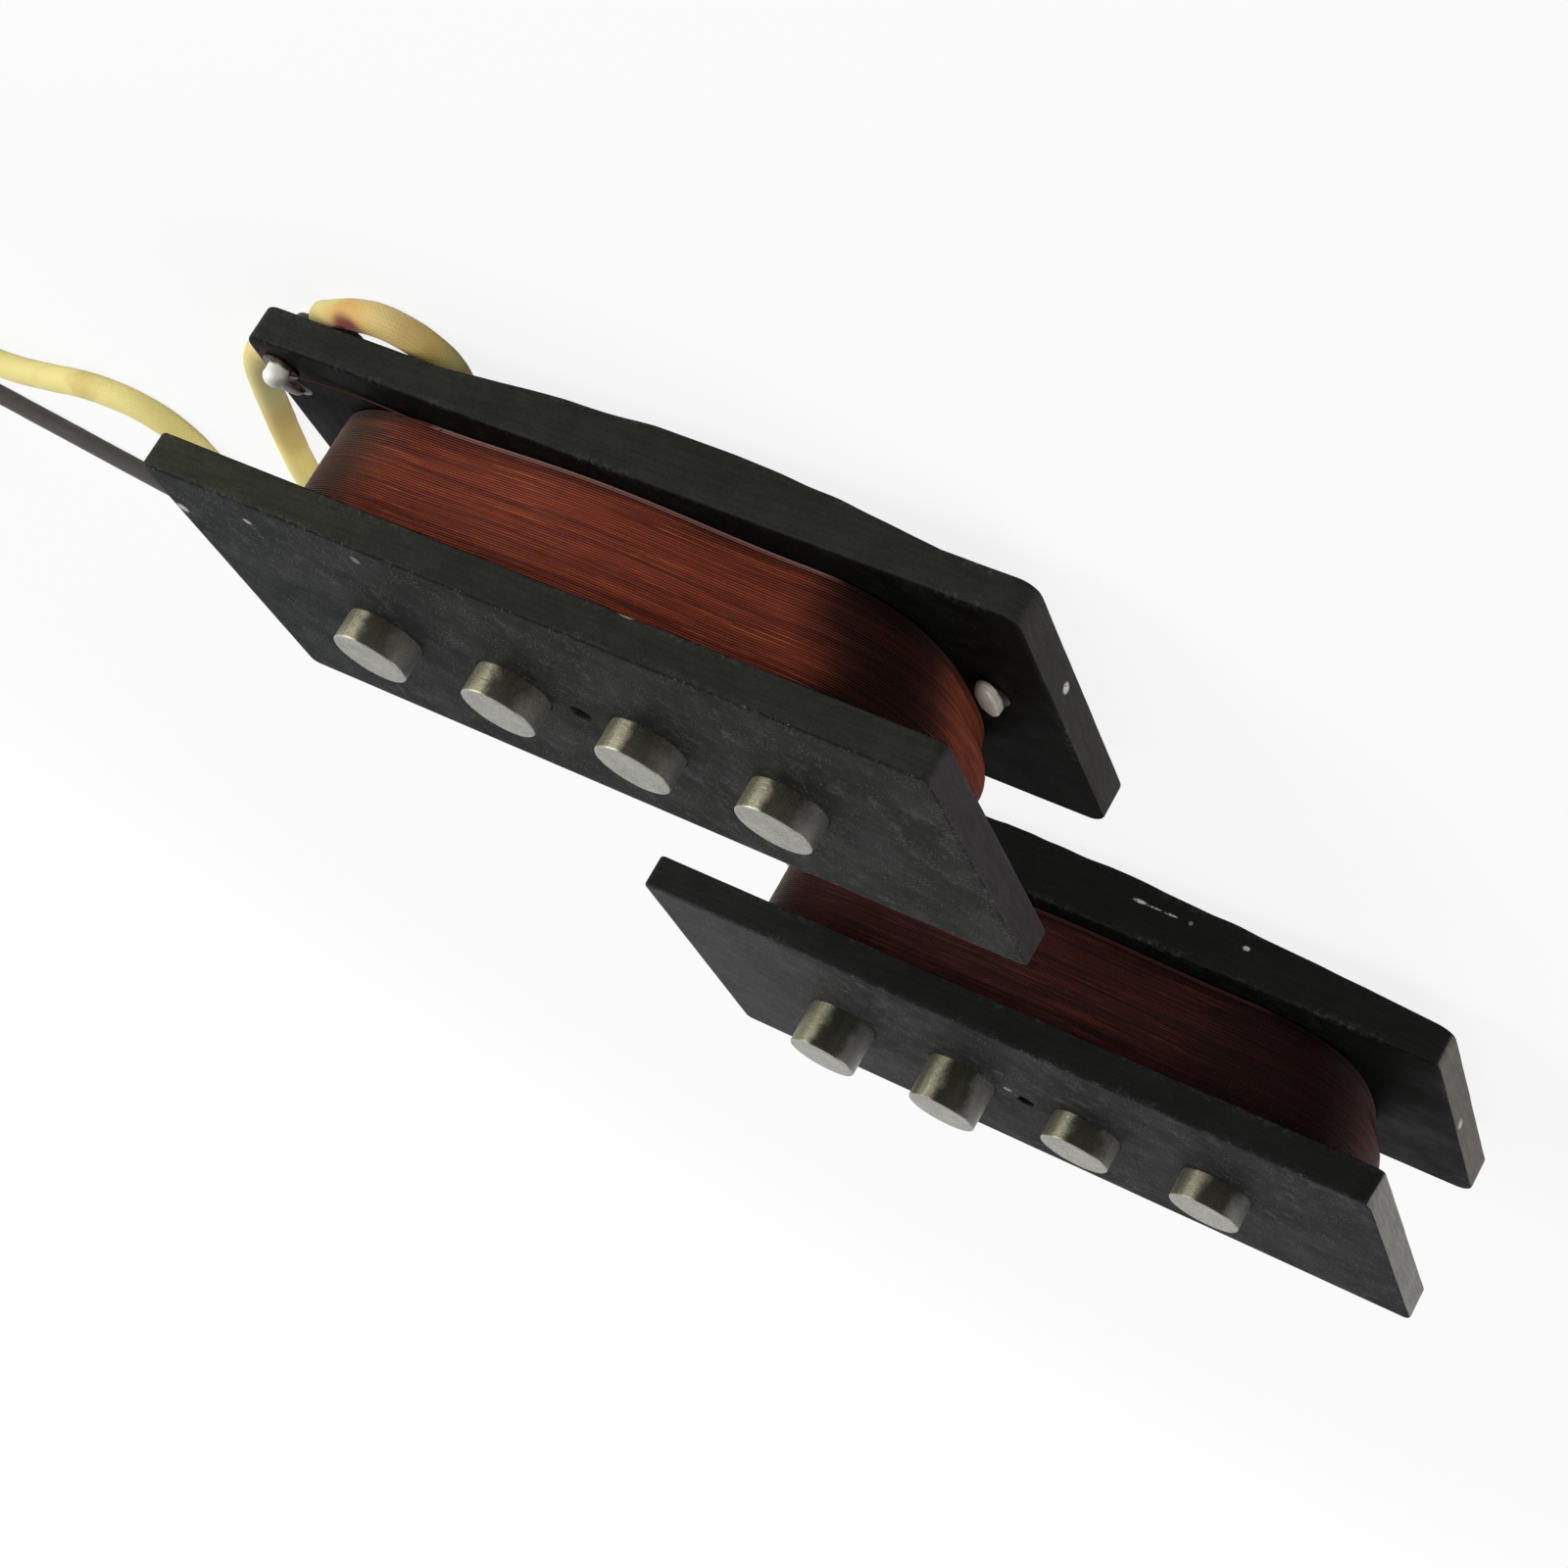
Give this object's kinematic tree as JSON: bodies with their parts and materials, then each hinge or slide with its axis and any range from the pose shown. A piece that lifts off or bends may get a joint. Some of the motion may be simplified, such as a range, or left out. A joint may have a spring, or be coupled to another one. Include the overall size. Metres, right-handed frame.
{
  "type": "guitar pickup",
  "caption": "Split-coil bass guitar pickup without covers: staggered bobbins of black fibre plates, rod magnets and red-brown wire, with yellow and black cloth leads in tied coils.",
  "frame": {"origin": "midway between the two bobbins, on the surface that the magnets' lower ends stand on", "axes": "+Z is the way the poles point, towards the strings; +X runs along each bobbin's row of magnets, away from the leads; +Y points from half B to half A"},
  "size_m": [0.1555, 0.0699, 0.0176],
  "materials": {
    "plates": "black vulcanised fibre, matte, with a fine speckle and worn grey edges",
    "magnets": "cast magnet alloy, ground pale grey on its ends and duller on its sides",
    "coil_body": "inner layers of fine enamelled copper wire, dark red-brown under lacquer",
    "coil_wire": "outer layer of fine enamelled copper wire, red-brown with orange streaks",
    "eyelets": "tinned brass, dulled by flux",
    "solder": "tin solder, bright where it is round and grey where it has run",
    "yellow_cloth": "waxed cloth braid, pale yellow with brown wax patches",
    "black_cloth": "waxed cloth braid, worn brown-black",
    "tinned_wire": "stranded copper wire, tinned",
    "tie_thread": "undyed cotton tape"
  },
  "bodies": {
    "root": {"half_a_top_plate": "plates", "half_a_bottom_plate": "plates", "half_a_magnet_1": "magnets", "half_a_magnet_2": "magnets", "half_a_magnet_3": "magnets", "half_a_magnet_4": "magnets", "half_a_coil_core": "coil_body", "half_a_coil_winding": "coil_wire", "half_a_finish_eyelet": "eyelets", "half_a_start_eyelet": "eyelets", "half_a_finish_solder": "solder", "half_a_start_solder": "solder", "half_a_lead_solder": "solder", "half_b_top_plate": "plates", "half_b_bottom_plate": "plates", "half_b_magnet_1": "magnets", "half_b_magnet_2": "magnets", "half_b_magnet_3": "magnets", "half_b_magnet_4": "magnets", "half_b_coil_core": "coil_body", "half_b_coil_winding": "coil_wire", "half_b_finish_eyelet": "eyelets", "half_b_start_eyelet": "eyelets", "half_b_finish_solder": "solder", "half_b_start_solder": "solder", "half_b_lead_solder": "solder", "yellow_lead": "yellow_cloth", "yellow_lead_coil": "yellow_cloth", "yellow_lead_tip": "tinned_wire", "yellow_lead_tie": "tie_thread", "black_lead": "black_cloth", "black_lead_coil": "black_cloth", "black_lead_tip": "tinned_wire", "black_lead_tie": "tie_thread"}
  },
  "joints": []
}
